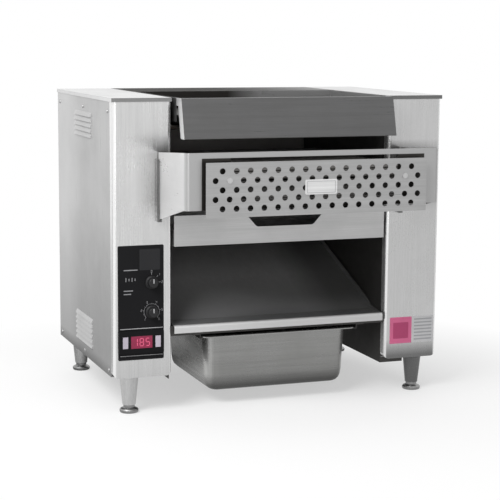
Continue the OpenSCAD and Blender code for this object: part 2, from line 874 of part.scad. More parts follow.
// Skirted knob with a raised pointer, on its own shaft
module knob(z) {
    r = knob_d / 2;
    color([0.12, 0.12, 0.13]) in_case() translate([knob_x, face_y - 0.4, z]) {
        rotate([90, 0, 0]) rotate_extrude() polygon([
            [0, 0], [r, 0], [r, 3], [r - 2.5, 4.5], [r - 3.5, knob_h - 1], [r - 4.5, knob_h], [0, knob_h]]);
        translate([-1.2, -knob_h - 0.8, 0]) cube([2.4, 2, r - 4.6]);
        rod_y(-1, 13, 0, 0, pin_r);
    }
}
module mode_knob() {
    knob(knob_hi_z);
}
module speed_knob() {
    knob(knob_lo_z);
}

// Circuit board on four posts at the bay side of the left tower
module control_board() {
    x = -bay - sheet;
    color("darkgreen") in_case() {
        x1 = x - post_h - board_t;
        box(x1, x - post_h, board_y, board_y + board_d, board_z, board_z + board_h);
        for (y = [post_in, board_d - post_in]) for (z = [post_in, board_h - post_in])
            rod_x(x - post_h, x, board_y + y, board_z + z, post_r);
        box(x1 - 20, x1, board_y + 0.1 * board_d, board_y + 0.4 * board_d,
            board_z + 0.18 * board_h, board_z + 0.5 * board_h);
        box(x1 - 14, x1, board_y + 0.54 * board_d, board_y + 0.9 * board_d,
            board_z + 0.5 * board_h, board_z + 0.84 * board_h);
    }
}
module contactors() {
    color("ivory") in_case() for (x = [-tower_x - coil_w - coil_gap / 2, -tower_x + coil_gap / 2]) {
        box(x, x + coil_w, coil_y, coil_y + coil_d, base_t, base_t + coil_h);
        box(x + 6, x + coil_w - 6, coil_y + 10, coil_y + coil_d - 10,
            base_t + coil_h, base_t + coil_h + coil_top);
    }
}
module terminal_block() {
    color("beige") in_case() difference() {
        box(-tower_x + strip_x, -tower_x + strip_x + strip_w, strip_y, strip_y + strip_d,
            base_t, base_t + strip_h);
        for (i = [-2 : 2])
            translate([-tower_x + strip_x + strip_w / 2, strip_y + strip_d / 2 + i * strip_pitch, 0])
            translate([0, 0, base_t + strip_h / 2]) cylinder(h = strip_h, r = strip_hole);
    }
}
// Supply inlet at the back of the left tower
module cable_gland() {
    color("dimgray") in_case() difference() {
        union() {
            rod_y(back_y, back_y + 7, -tower_x, fan_z, gland_r);
            rod_y(back_y + 7, back_y + gland_out, -tower_x, fan_z, gland_r - 3.5);
            rod_y(back_y - 14, back_y, -tower_x, fan_z, gland_r - 5.1);
            rod_y(back_y - sheet - 6, back_y - sheet, -tower_x, fan_z, gland_r - 1);
        }
        rod_y(back_y - 20, back_y + gland_out + 1, -tower_x, fan_z, gland_bore);
    }
}
// Square fan frame behind the lower louvres
module fan_housing() {
    x0 = -skin_x + sheet;
    color([0.15, 0.15, 0.16]) in_case() {
        difference() {
            box(x0, x0 + fan_t, fan_y - fan_w / 2, fan_y + fan_w / 2, fan_z - fan_w / 2, fan_z + fan_w / 2);
            rod_x(x0 - 1, x0 + fan_t + 1, fan_y, fan_z, fan_r);
        }
        rod_x(x0 + fan_t - 3, x0 + fan_t, fan_y, fan_z, fan_hub_r + 1);
        rod_x(x0 + 6, x0 + fan_t - 1, fan_y, fan_z, fan_pin_r);
        for (a = [45, 135]) translate([x0 + fan_t - 1.5, fan_y, fan_z]) rotate([a, 0, 0])
            cube([3, 2 * fan_r + 2, 5], center = true);
    }
}
module fan_rotor() {
    x0 = -skin_x + sheet + 3;
    color("black") in_case() difference() {
        union() {
            rod_x(x0, x0 + rotor_t, fan_y, fan_z, fan_hub_r);
            for (i = [0 : 6]) translate([x0 + rotor_t / 2, fan_y, fan_z]) rotate([i * 360 / 7, 0, 0])
                translate([0, 0, fan_r - 2 - blade_len / 2]) rotate([0, 0, 40])
                    cube([blade_t, blade_w, blade_len], center = true);
        }
        rod_x(x0 + 2, x0 + 30, fan_y, fan_z, fan_pin_r + fit);
    }
}

module pan_head(len) {
    rotate_extrude() polygon([
        [0, -len], [2.1, -len], [2.1, 0], [4.2, 0], [4.2, 1], [3.2, screw_h], [0, screw_h]]);
}
// Screws of the side panels and of the rear panel
module case_screws() {
    color("silver") in_case() {
        both_sides() for (p = panel_screws) translate([-skin_x, p[0], p[1]]) rotate([0, -90, 0]) pan_head(6);
        for (p = rear_screws) translate([p[0], back_y, p[1]]) rotate([-90, 0, 0]) pan_head(6);
    }
}

// Deep pan with a flat rim, tapered walls and round corners
module pan_form(inset, low, top) {
    hull() for (x = [-1, 1]) for (y = [-1, 1])
        translate([x * (pan_x - rim_w - pan_r), y * (pan_d / 2 - rim_w - pan_r), 0]) {
            translate([0, 0, top - 1]) cylinder(h = 1, r = pan_r - inset, $fn = 48);
            for (p = pan_steps) translate([0, 0, low + p[0]])
                cylinder(h = 1, r = pan_r - p[1] - inset, $fn = 48);
        }
}
module grease_pan() {
    color("silver") in_case() translate([0, pan_in + pan_d / 2, rim_z]) difference() {
        union() {
            translate([-pan_x, -pan_d / 2, 0]) linear_extrude(rim_t) rounded_rect(pan_w, pan_d, rim_r);
            pan_form(0, rim_t - pan_h, rim_t);
        }
        pan_form(pan_t, rim_t - pan_h + pan_t, rim_t + 2);
    }
}

// Pull-out tray under the belt, with a finger notch in its front
module drip_tray() {
    y0 = 3;
    color("lightgray") in_case() {
        along_y(y0, y0 + sheet) difference() {
            translate([-tray_x, tray_z]) square([2 * tray_x, tray_h]);
            translate([notch_x, tray_top]) polygon([
                [-notch_w / 2, 1], [-notch_w / 2 + 24, -notch_h + 3], [-notch_w / 2 + 29, -notch_h],
                [notch_w / 2 - 29, -notch_h], [notch_w / 2 - 24, -notch_h + 3], [notch_w / 2, 1]]);
        }
        difference() {
            box(-tray_x, tray_x, y0, tray_d, tray_z, tray_z + tray_h - notch_h - 1);
            box(-tray_x + sheet, tray_x - sheet, y0 + sheet, tray_d - sheet, tray_z + sheet, tray_z + tray_h);
        }
    }
}

// Bent sheet from the front lip up to the back of the bay
module slide_profile() {
    r = 6;
    translate([0, slide_z - slide_lip]) square([sheet, slide_lip - r]);
    translate([0, slide_z - slide_lip]) square([6, sheet]);
    translate([r, slide_z - r]) intersection() {
        difference() {
            circle(r);
            circle(r - sheet);
        }
        translate([-r, 0]) square([r, r]);
    }
    polygon([
        [r, slide_z], [slide_flat, slide_z], [slide_d, slide_back_z], [slide_d, slide_back_z - sheet * 1.1],
        [slide_flat, slide_z - sheet], [r, slide_z - sheet]]);
}
module discharge_slide() {
    color("dimgray") in_case() {
        along_x(-slide_x, slide_x) slide_profile();
        both_sides() along_x(-slide_x, -slide_x + sheet) polygon([
            [8, slide_z - 1], [slide_flat, slide_z - 1], [slide_d, slide_back_z - 1],
            [slide_d, slide_back_z + 10], [slide_flat + 20, slide_at(slide_flat + 20) + 12],
            [slide_flat, slide_z + 6], [24, slide_z + 2]]);
    }
}

// Bent frame around the loading end, open at the top and below, with a window between the shield's studs
module guard_frame() {
    window = stud_x - stud_land;
    color("silver") in_case() difference() {
        intersection() {
            translate([-guard_x, -guard_out, guard_z0 - guard_drop])
                bent_channel(2 * guard_x, guard_out + guard_back, guard_r, guard_h + guard_drop);
            along_x(-guard_x - 1, guard_x + 1) polygon([
                [-guard_out - 1, guard_z0], [-guard_out + 10, guard_z0],
                [guard_back, guard_z0 - guard_drop], [guard_back, guard_z1 - guard_top_drop],
                [-guard_out + 10, guard_z1], [-guard_out - 1, guard_z1]]);
        }
        box(-window, window, -guard_out - 5, -guard_out + 5, guard_z0 + sill_h, guard_z1 - head_h);
        for (s = [-1, 1]) rod_y(-guard_out - 5, -guard_out + 5, s * stud_x, stud_z, 2.7);
    }
}

// Flat perforated plate in front of the guard
module heat_shield() {
    color("gainsboro") in_case() along_y(shield_y - sheet, shield_y) difference() {
        translate([-shield_w / 2, shield_z0]) square([shield_w, shield_h]);
        for (k = [0 : row_n - 1]) {
            n = k % 2 == 0 ? odd_n : odd_n + 1;
            for (i = [0 : n - 1]) {
                x = (i - (n - 1) / 2) * hole_pitch;
                held = k == 3 && abs(abs(x) - stud_x) < 1;
                translate([x, row_z + (k - 2) * row_pitch]) circle(held ? 2.7 : hole_d / 2);
            }
        }
    }
}
// Shouldered studs that hold the shield off the guard
module shield_screws() {
    color("silver") in_case() for (s = [-1, 1]) {
        rod_y(shield_y, -guard_out, s * stud_x, stud_z, 6);
        rod_y(shield_y - sheet - 1, -guard_out + sheet + 5, s * stud_x, stud_z, 2.5);
        rod_y(shield_y - sheet - screw_h, shield_y - sheet, s * stud_x, stud_z, 5.5);
        rod_y(-guard_out + sheet, -guard_out + sheet + 4, s * stud_x, stud_z, 5);
    }
}

left_front_cover();
left_side_panel();
left_inner_wall();
left_top_cover();
left_chassis();
right_front_cover();
right_side_panel();
right_inner_wall();
right_top_cover();
right_chassis();
rear_panel();
crossmembers();
hood_shell();
hood_spacers();
upper_reflector();
upper_elements();
lower_elements();
element_bushes();
conveyor_rails();
conveyor_mounts();
conveyor_belt();
shaft_bearings();
bay_runners();
pan_runners();
legs();
gearbox();
motor();
motor_bracket();
drive_chain();
control_overlay();
display_module();
display_window();
control_pots();
control_board();
contactors();
terminal_block();
cable_gland();
fan_housing();
case_screws();
drive_shaft();
belt_sprockets();
driven_sprocket();
idler_shaft();
idler_rollers();
motor_sprocket();
grease_pan();
drip_tray();
discharge_slide();
guard_frame();
heat_shield();
shield_screws();
mode_knob();
speed_knob();
key_left();
key_right();
fan_rotor();
foot_front_left();
foot_front_right();
foot_back_left();
foot_back_right();
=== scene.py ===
import bpy
import bmesh
import math
from mathutils import Matrix, Vector

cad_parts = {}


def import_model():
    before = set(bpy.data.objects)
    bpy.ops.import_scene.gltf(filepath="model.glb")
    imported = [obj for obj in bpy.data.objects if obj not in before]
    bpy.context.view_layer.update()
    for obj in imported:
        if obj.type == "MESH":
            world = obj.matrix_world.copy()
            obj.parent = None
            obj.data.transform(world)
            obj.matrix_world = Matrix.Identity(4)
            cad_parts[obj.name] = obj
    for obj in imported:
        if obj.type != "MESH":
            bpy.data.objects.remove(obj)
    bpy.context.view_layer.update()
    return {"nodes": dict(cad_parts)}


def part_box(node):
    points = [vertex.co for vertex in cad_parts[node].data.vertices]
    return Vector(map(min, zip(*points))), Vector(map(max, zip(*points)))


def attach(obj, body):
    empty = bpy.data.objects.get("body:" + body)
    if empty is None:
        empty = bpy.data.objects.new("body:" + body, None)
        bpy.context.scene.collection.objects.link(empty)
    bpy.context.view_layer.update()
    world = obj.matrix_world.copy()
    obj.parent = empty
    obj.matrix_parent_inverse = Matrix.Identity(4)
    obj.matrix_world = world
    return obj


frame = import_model()
NODES = frame["nodes"]
scene = bpy.context.scene
scene.view_settings.view_transform = "Standard"

# Casing frame, in millimetres: x as in the part, y from the front of the towers, z from the tower bottoms
MM = 1000
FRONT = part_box("left_top_cover")[0].y
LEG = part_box("left_chassis")[0].z


def at(x, y, z):
    """Place in the scene of a point in the casing frame."""
    return Vector((x / MM, y / MM + FRONT, z / MM + LEG))


def extent(name):
    """Low and high corner of a piece, in the casing frame."""
    return [(corner - at(0, 0, 0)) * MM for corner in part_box(name)]


def front_of(name):
    """Front face of a piece, in the casing frame."""
    return extent(name)[0].y


def middle_of(name):
    """Middle of a piece across and in height, in the casing frame."""
    lo, hi = extent(name)
    return (lo.x + hi.x) / 2, (lo.z + hi.z) / 2


# Camera, fitted to the photograph
YAW, PITCH, ROLL = math.radians(20.142), math.radians(8.398), math.radians(0.396)
CAMERA_PLACE = (-1146.5, -2928.3, 718.4)
FOCAL_PIXELS = 1492.6
PHOTO_PIXELS = 500
SENSOR_WIDTH = 36
VIEW_DISTANCE = 50


def camera():
    ahead = Vector((math.sin(YAW) * math.cos(PITCH), math.cos(YAW) * math.cos(PITCH), -math.sin(PITCH)))
    level = Vector((math.cos(YAW), -math.sin(YAW), 0))
    upright = level.cross(ahead)
    right = level * math.cos(ROLL) + upright * math.sin(ROLL)
    up = upright * math.cos(ROLL) - level * math.sin(ROLL)
    placed = Matrix((right, up, -ahead)).transposed().to_4x4()
    placed.translation = at(*CAMERA_PLACE)
    cam = bpy.data.objects.new("Camera", bpy.data.cameras.new("Camera"))
    scene.collection.objects.link(cam)
    cam.data.sensor_width = SENSOR_WIDTH
    cam.data.lens = SENSOR_WIDTH * FOCAL_PIXELS / PHOTO_PIXELS
    cam.data.clip_end = VIEW_DISTANCE
    cam.matrix_world = placed
    scene.camera = cam


# Shader trees
MIX_FIRST, MIX_SECOND, MIX_RESULT = 6, 7, 2  # colour sockets of a Mix node


class Tree:
    """Short ways to add and join the nodes of one shader tree."""

    def __init__(self, tree):
        self.tree = tree

    def node(self, kind, **values):
        """New node with the given settings and socket values."""
        made = self.tree.nodes.new("ShaderNode" + kind)
        for key, value in values.items():
            if key in made.inputs.keys():
                made.inputs[key].default_value = value
            else:
                setattr(made, key, value)
        return made

    def put(self, value, socket):
        """Set a socket to a number or a colour, or link another socket to it."""
        if isinstance(value, (int, float)):
            socket.default_value = value
        elif isinstance(value, tuple):
            socket.default_value = (*value, 1)
        else:
            self.tree.links.new(value, socket)

    def math(self, operation, first, second=0.0):
        made = self.node("Math", operation=operation)
        self.put(first, made.inputs[0])
        self.put(second, made.inputs[1])
        return made.outputs[0]

    def product(self, first, *others):
        for other in others:
            first = self.math("MULTIPLY", first, other)
        return first

    def ramp(self, value, low, high, start=0.3, end=0.7):
        """Map start..end to low..high, held at both ends."""
        made = self.node("MapRange", **{"From Min": start, "From Max": end, "To Min": low, "To Max": high})
        self.put(value, made.inputs["Value"])
        return made.outputs["Result"]

    def rise(self, value, start, end, share=1):
        """Nothing up to start, the whole share from end on."""
        return self.ramp(value, 0, share, start, end)

    def fall(self, value, start, end, share=1):
        """The whole share up to start, nothing from end on."""
        return self.ramp(value, share, 0, start, end)

    def blend(self, factor, first, second):
        """Colour between two colours."""
        made = self.node("Mix", data_type="RGBA")
        self.put(factor, made.inputs["Factor"])
        self.put(first, made.inputs[MIX_FIRST])
        self.put(second, made.inputs[MIX_SECOND])
        return made.outputs[MIX_RESULT]

    def mix(self, factor, first, second, output):
        """Shader between two shaders, led to the output node."""
        made = self.node("MixShader")
        self.put(factor, made.inputs[0])
        self.put(first.outputs[0], made.inputs[1])
        self.put(second.outputs[0], made.inputs[2])
        self.put(made.outputs[0], output.inputs[0])


class Mat(Tree):
    """One material around its Principled shader, with coordinates in object space, in metres."""

    def __init__(self, name):
        self.material = bpy.data.materials.new(name)
        self.material.use_nodes = True
        super().__init__(self.material.node_tree)
        self.shader = self.tree.nodes["Principled BSDF"]
        self.coord = self.node("TexCoord")

    def shade(self, name, value):
        """Set one of the shader's sockets, or link to it."""
        self.put(value, self.shader.inputs[name])

    def noise(self, scale, detail=3.0, rough=0.55):
        """Noise; scale is one number or one per axis, in 1/m."""
        if not isinstance(scale, tuple):
            scale = (scale,) * 3
        mapping = self.node("Mapping", Scale=scale)
        self.put(self.coord.outputs["Object"], mapping.inputs["Vector"])
        texture = self.node("TexNoise", Scale=1.0, Detail=detail, Roughness=rough)
        self.put(mapping.outputs["Vector"], texture.inputs["Vector"])
        return texture.outputs["Fac"]

    def component(self, vector, name):
        split = self.node("SeparateXYZ")
        self.put(self.coord.outputs[vector], split.inputs[0])
        return split.outputs[name]

    def axis(self, name):
        """One coordinate of the point."""
        return self.component("Object", name)

    def facing(self, name):
        """One component of the surface normal."""
        return self.component("Normal", name)

    def sideways(self):
        """How far the surface looks to either side."""
        return self.math("ABSOLUTE", self.facing("X"))

    def off_centre(self):
        """Distance from the middle of the part, to either side."""
        return self.math("ABSOLUTE", self.axis("X"))

    def bump(self, height, strength, distance):
        made = self.node("Bump", Strength=strength, Distance=distance)
        self.put(height, made.inputs["Height"])
        self.shade("Normal", made.outputs["Normal"])


def grey(value):
    return (value, value, value)


def tint(colour, factor):
    return tuple(min(1.0, value * factor) for value in colour)


# Sheet metal: noise scales along and across the brushing, in 1/m, and what they do
FINE_GRAIN = (10, 900)
BROAD_GRAIN = (4, 144)
FINE_SHARE, BROAD_SHARE = 0.6, 0.4
GRAIN_RANGE = (0.35, 0.65)
GRAIN_DEPTH = 0.00015
ANISOTROPY = 0.4
MARK_RANGE = (0.45, 0.75)
MARK_SHARE, MARK_TINT = 0.55, 0.86
WEAR_RANGE = (0.35, 0.7)
POLISHED, WORN = -0.03, 0.07


def brushed(brush, along, across):
    """Noise scale per axis for sheet brushed along the named axes."""
    return tuple(along if axis in brush else across for axis in "XYZ")


def steel(name, base, rough, brush, metal=1.0, vary=0.10, stain=None, stain_scale=9.0,
          patch=None, dull=None, relief_strength=0.12):
    """Brushed sheet: fine grain in colour, roughness and bump, with soft handling marks.

    patch recolours part of the surface; dull gives the share of it that is matt.
    """
    m = Mat(name)
    m.shade("Metallic", metal)
    m.shade("Anisotropic", ANISOTROPY)
    fine = m.noise(brushed(brush, *FINE_GRAIN), 4.0, 0.65)
    broad = m.noise(brushed(brush, *BROAD_GRAIN))
    cloud = m.noise(stain_scale, 4.0, 0.6)
    grain = m.math("ADD", m.product(fine, FINE_SHARE), m.product(broad, BROAD_SHARE))
    colour = m.blend(m.rise(grain, *GRAIN_RANGE), tint(base, 1 - vary), tint(base, 1 + vary))
    colour = m.blend(m.rise(cloud, *MARK_RANGE, MARK_SHARE), colour, stain or tint(base, MARK_TINT))
    if patch:
        colour = patch(m, colour)
    m.shade("Base Color", colour)
    streak = m.ramp(grain, rough - vary / 2, rough + vary * 0.6)
    roughness = m.math("ADD", streak, m.ramp(cloud, POLISHED, WORN, *WEAR_RANGE))
    if dull:
        share = dull(m)
        roughness = m.math("MAXIMUM", roughness, share)
        m.shade("Metallic", m.ramp(share, metal, 0.0, 0, 1))
    m.shade("Roughness", roughness)
    m.bump(grain, relief_strength, GRAIN_DEPTH)
    return m.material


# Moulded and cast surfaces
DRIFT_SCALE, DRIFT = 14.0, 0.12
SPECK_SHARE, SPECK_TINT = 0.35, 0.8
SMOOTHER, ROUGHER = -0.06, 0.08


def cast(name, base, rough=0.5, metal=0.0, grain=900.0, strength=0.25, depth=0.0003, spec=0.5, patch=None):
    """Moulded or cast surface with a fine texture and slight colour drift."""
    m = Mat(name)
    m.shade("Metallic", metal)
    m.shade("Specular IOR Level", spec)
    fine = m.noise(grain)
    cloud = m.noise(DRIFT_SCALE)
    colour = m.blend(m.ramp(cloud, 0, 1), tint(base, 1 - DRIFT), tint(base, 1 + DRIFT))
    colour = m.blend(m.ramp(fine, 0, SPECK_SHARE), colour, tint(base, SPECK_TINT))
    if patch:
        colour = patch(m, colour)
    m.shade("Base Color", colour)
    m.shade("Roughness", m.ramp(fine, rough + SMOOTHER, rough + ROUGHER))
    m.bump(fine, strength, depth)
    return m.material


def lit(name, scale, low, high, rough, glow, strength):
    """Coloured plastic with a faint glow; rough is one number, or two that it varies between."""
    m = Mat(name)
    cloud = m.noise(scale, 2.0)
    m.shade("Base Color", m.blend(m.ramp(cloud, 0, 1), low, high))
    m.shade("Roughness", m.ramp(cloud, *rough) if isinstance(rough, tuple) else rough)
    m.shade("Emission Color", glow)
    m.shade("Emission Strength", strength)
    return m.material


# Patches: painted shade, painted shadow and painted highlights on parts of a sheet, by place and by the way
# that it faces; one patch gives the knobs their pale pointers
# Soot colour: real soot on the conveyor rails, and painted shade wherever the patches use it
SOOT_AND_SHADE = (0.022, 0.020, 0.018)
# Painted shade colours: lighter on faces in the tunnel, darker under the drip tray and on the deck
TUNNEL_SHADE = (0.26, 0.245, 0.24)
TRAY_SHADE = (0.05, 0.046, 0.042)
DECK_SHADE = (0.03, 0.029, 0.027)
UPWARD = (0.7, 0.9)
DOWNWARD = (-0.7, -0.5)
FORWARD = (-0.7, -0.5)


def slide_patch(m, colour):
    """Painted highlight on the front lip; the slope is darker near the front, with painted shade along the
    right.
    """
    dark, right_shade, painted_highlight = (0.17, 0.17, 0.172), (0.08, 0.08, 0.078), grey(0.62)
    lip_end, slope = FRONT + 0.0015, FRONT + 0.006
    dark_until, base_from = FRONT + 0.05, FRONT + 0.22
    right_shade_from, right_shade_to, right_shade_share = 0.09, 0.17, 0.65
    behind = m.axis("Y")
    colour = m.blend(m.rise(behind, dark_until, base_from), dark, colour)
    # Painted shade along the right of the slope
    colour = m.blend(m.rise(m.axis("X"), right_shade_from, right_shade_to, right_shade_share), colour, right_shade)
    # Painted highlight on the front lip
    return m.blend(m.rise(behind, lip_end, slope), painted_highlight, colour)


def guard_shadow(m, right):
    """Share of painted shadow beside the guard, with a longer painted shadow on the right cover that thins
    outwards.
    """
    lo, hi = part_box("guard_frame")
    low, full, thin, high = lo.z, lo.z + 0.04, hi.z - 0.016, hi.z + 0.004
    reach, beside_share = 0.05, 0.55
    inner, inner_share, outer, outer_share = 0.25, 0.8, 0.37, 0.2
    # Painted shadow beside the guard, from its bottom to just over its top
    level = m.product(m.rise(m.axis("Z"), low, full), m.fall(m.axis("Z"), thin, high))
    beside = m.fall(m.off_centre(), hi.x, hi.x + reach, beside_share)
    # Painted shadow on the right cover, heaviest near the guard
    mark = m.product(right, m.ramp(m.axis("X"), inner_share, outer_share, inner, outer))
    return m.product(level, m.math("MAXIMUM", beside, mark))


def front_patch(m, colour):
    """Front covers: painted highlights on the bends, painted shadow round the guard, painted shade on its
    channels, and painted shade over the right cover, heaviest along its bottom.
    """
    dull, painted_shade, painted_highlight, dark = grey(0.38), grey(0.06), grey(0.86), grey(0.13)
    middle, right_side = 0.0, 0.05
    right_dim_share, shade_share = 0.3, 0.75
    shade_low, shade_high = LEG + 0.006, LEG + 0.042
    flat, bend = 0.2, 0.5
    channel, face = FRONT + 0.0004, FRONT + 0.0010
    right = m.rise(m.axis("X"), middle, right_side)
    low = m.fall(m.axis("Z"), shade_low, shade_high, shade_share)
    # Painted shade over the right cover, in a duller grey
    colour = m.blend(m.product(right, right_dim_share), colour, dull)
    # Painted shade along the bottom of the right cover
    colour = m.blend(m.product(low, right), colour, painted_shade)
    # Painted shadow round the guard
    colour = m.blend(guard_shadow(m, right), colour, SOOT_AND_SHADE)
    # Painted highlight on the bends
    colour = m.blend(m.rise(m.sideways(), flat, bend), colour, painted_highlight)
    # Painted shade on the guard channels
    return m.blend(m.fall(m.axis("Y"), channel, face), colour, dark)


def side_patch(m, colour):
    """Side panels: painted light towards the back, with painted shade along the bottom."""
    lit_from, lit_to, lit_share = 0.12, 0.24, 0.6
    shade_low, shade_high, shade_share = LEG + 0.002, LEG + 0.026, 0.6
    # Painted light towards the back
    colour = m.blend(m.rise(m.axis("Y"), lit_from, lit_to, lit_share), colour, grey(0.70))
    # Painted shade along the bottom
    return m.blend(m.fall(m.axis("Z"), shade_low, shade_high, shade_share), colour, grey(0.08))


def lip_patch(m, colour):
    """Painted shade on the front lip of the top covers, darker on the right one."""
    lip, edge = -0.8, -0.5
    left, right = -0.1, 0.1
    # Painted shade on the lip, darker on the right cover
    shaded = m.blend(m.rise(m.axis("X"), left, right), grey(0.22), grey(0.15))
    return m.blend(m.fall(m.facing("Y"), lip, edge), colour, shaded)


def pan_patch(m, colour):
    """Painted light on the sides of the pan, and painted shade round the bottom."""
    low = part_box("grease_pan")[0].z
    lit_sides, bottom_shade = (0.62, 0.62, 0.61), (0.07, 0.07, 0.068)
    slanted, side = 0.5, 0.9
    bottom_shade_low, bottom_shade_high, bottom_shade_share = low + 0.006, low + 0.036, 0.9
    # Painted light on the sides
    colour = m.blend(m.rise(m.sideways(), slanted, side), colour, lit_sides)
    # Painted shade round the bottom
    return m.blend(m.fall(m.axis("Z"), bottom_shade_low, bottom_shade_high, bottom_shade_share), colour, bottom_shade)


def leg_patch(m, colour):
    """Legs painted darker towards the right: painted shade."""
    left, right = -0.2, 0.2
    # Painted shade on the legs towards the right
    return m.blend(m.rise(m.axis("X"), left, right), colour, grey(0.16))


def pointer_patch(m, colour):
    """Pale raised pointer on a knob."""
    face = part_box("mode_knob")[0].y
    top, root = face + 0.0004, face + 0.0007
    return m.blend(m.fall(m.axis("Y"), top, root), colour, (0.40, 0.40, 0.41))


def visor_patch(m, colour):
    """Painted highlights on the visor's side returns and on its upward faces, and painted shade inside the
    hood, darkest on the left.
    """
    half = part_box("hood_shell")[1].x
    inner, outer = half - 0.0022, half - 0.0016
    visor, behind = FRONT - 0.004, FRONT - 0.002
    slanted, side = 0.6, 0.8
    hood_from, hood_to = FRONT + 0.02, FRONT + 0.03
    darkest, thin = -0.02, 0.06
    returns = m.product(m.rise(m.off_centre(), inner, outer), m.fall(m.axis("Y"), visor, behind),
                        m.rise(m.sideways(), slanted, side))
    # Painted shade inside the hood, in soot colour on the left
    stain = m.blend(m.rise(m.axis("X"), darkest, thin), SOOT_AND_SHADE, grey(0.26))
    # Painted light on faces that look up
    colour = m.blend(m.rise(m.facing("Z"), *UPWARD), colour, grey(0.22))
    colour = m.blend(m.rise(m.axis("Y"), hood_from, hood_to), colour, stain)
    # Painted highlight on the side returns
    return m.blend(returns, colour, grey(0.80))


def band_patch(m, colour):
    """Front band of the guard painted darker than its side plates as painted shade, with painted shade in
    soot colour where the shield hides it.
    """
    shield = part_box("heat_shield")[1]
    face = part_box("guard_frame")[0].y
    hidden_x, clear_x = shield.x + 0.0025, shield.x + 0.0035
    hidden_z, clear_z = shield.z + 0.0065, shield.z + 0.0075
    band_from, band_to = face + 0.002, face + 0.009
    hidden = m.product(m.fall(m.off_centre(), hidden_x, clear_x), m.fall(m.axis("Z"), hidden_z, clear_z))
    # Painted shade on the band, darkest behind the shield
    band = m.blend(hidden, grey(0.40), SOOT_AND_SHADE)
    return m.blend(m.fall(m.axis("Y"), band_from, band_to), colour, band)


def tray_patch(m, colour):
    """Painted shade under the drip tray."""
    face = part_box("drip_tray")[0].y
    under_shade_from, under_shade_to = face + 0.004, face + 0.007
    behind = m.rise(m.axis("Y"), under_shade_from, under_shade_to)
    # Painted shade on the faces that look down
    return m.blend(m.product(behind, m.fall(m.facing("Z"), *DOWNWARD)), colour, TRAY_SHADE)


def rear_patch(m, colour):
    """Painted shade on the faces that look forward, lighter in the tunnel, on the faces that look down, and
    on the deck.
    """
    tray_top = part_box("drip_tray")[1].z
    tunnel = tray_top + 0.02
    # Painted shade colour, lighter above the tray in the tunnel
    soot = m.blend(m.rise(m.axis("Z"), tray_top, tunnel), SOOT_AND_SHADE, TUNNEL_SHADE)
    # Painted shade on faces that look forward
    colour = m.blend(m.fall(m.facing("Y"), *FORWARD), colour, soot)
    # Painted shade on faces that look down
    colour = m.blend(m.fall(m.facing("Z"), *DOWNWARD), colour, SOOT_AND_SHADE)
    # Painted shade on the deck
    return m.blend(deck_shade(m), colour, DECK_SHADE)


def deck_shade(m):
    """Share of painted shade on the deck, whole on the left and half on the right."""
    left, right = 0.0, 0.22
    return m.product(m.rise(m.facing("Z"), *UPWARD), m.ramp(m.axis("X"), 1, 0.5, left, right))


